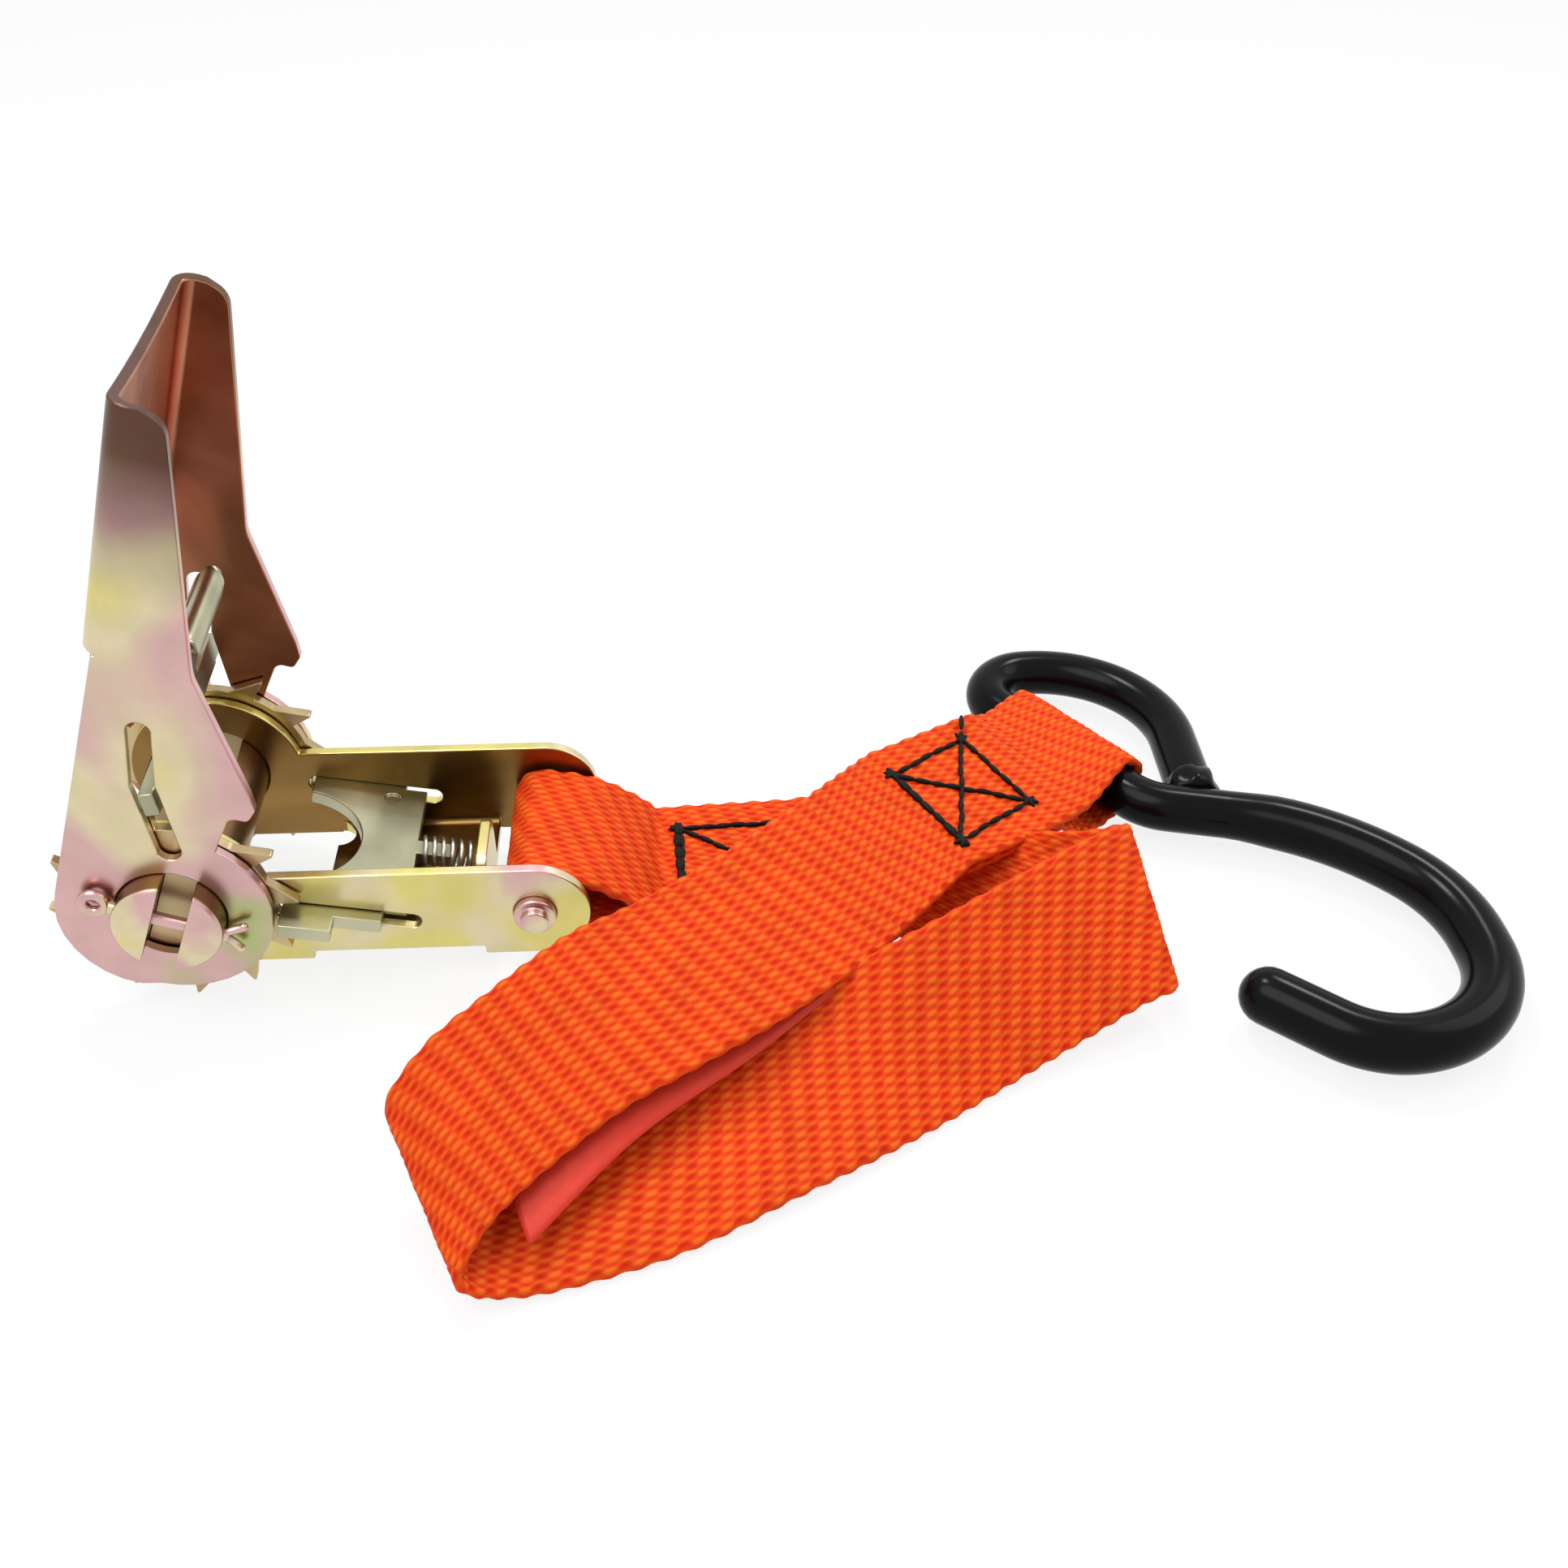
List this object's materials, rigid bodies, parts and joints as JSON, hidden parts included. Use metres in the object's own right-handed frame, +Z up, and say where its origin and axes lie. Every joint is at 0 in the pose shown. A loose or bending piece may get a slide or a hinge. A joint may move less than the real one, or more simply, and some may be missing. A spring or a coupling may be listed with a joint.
{
  "type": "ratchet tie down",
  "caption": "Ratchet buckle with a folding handle, sliding pawls and a split shaft, sewn to a folded length of orange webbing that ends in a dipped wire hook.",
  "frame": {"origin": "middle of the ratchet's shaft, half way between the frame plates", "axes": "+X from the shaft towards the strap pin, +Y along the shaft, +Z up from the surface it lies on"},
  "size_m": [0.2069, 0.1263, 0.094],
  "materials": {
    "yellow_zinc": "yellow zinc plate",
    "spring_wire": "drawn wire",
    "webbing": "plain-woven polyester",
    "thread": "sewing thread",
    "tag": "smooth label cloth",
    "black_rod": "black paint",
    "vinyl": "dipped vinyl"
  },
  "bodies": {
    "root": {"frame": "yellow_zinc", "strap_pin": "yellow_zinc"},
    "shaft": {"shaft_half_lower": "yellow_zinc", "shaft_half_upper": "yellow_zinc", "ratchet_wheel_near": "yellow_zinc", "ratchet_wheel_far": "yellow_zinc", "cotter_pin_near": "yellow_zinc", "cotter_pin_far": "yellow_zinc"},
    "handle": {"handle": "yellow_zinc", "handle_pawl_spring": "spring_wire"},
    "handle_pawl": {"handle_pawl": "yellow_zinc"},
    "frame_pawl": {"frame_pawl": "yellow_zinc", "frame_pawl_spring": "spring_wire"},
    "strap": {"webbing": "webbing", "box_stitch_ratchet": "thread", "box_stitch_hook": "thread", "blank_tag": "tag"},
    "hook": {"hook_rod": "black_rod", "eye_weld": "black_rod", "hook_coating": "vinyl"}
  },
  "joints": [
    {"name": "shaft_spin", "type": "hinge", "parent": "root", "child": "shaft", "pos_m": [0, 0, 0], "axis": [0, -1, 0], "continuous": true},
    {"name": "handle_swing", "type": "hinge", "parent": "root", "child": "handle", "pos_m": [0, 0, 0], "axis": [0, -1, 0], "range_deg": [-55, 90]},
    {"name": "handle_pawl_slide", "type": "slide", "parent": "handle", "child": "handle_pawl", "axis": [0.0872, 0, -0.9962], "range_m": [-0.0021, 0.0031], "stiffness_N_per_m": 300, "deforming": ["handle_pawl_spring"]},
    {"name": "frame_pawl_slide", "type": "slide", "parent": "root", "child": "frame_pawl", "axis": [0.9823, 0, -0.1874], "range_m": [0, 0.0038], "stiffness_N_per_m": 300, "springref_m": -0.001, "deforming": ["frame_pawl_spring"]},
    {"name": "strap_swing", "type": "hinge", "parent": "root", "child": "strap", "pos_m": [0.0493, 0, -0.005], "axis": [0, -1, 0], "range_deg": [-60, 60]},
    {"name": "hook_swing", "type": "hinge", "parent": "strap", "child": "hook", "pos_m": [0.133, 0.0265, -0.01134], "axis": [-0.6018, 0.7986, 0], "range_deg": [-60, 60]}
  ]
}
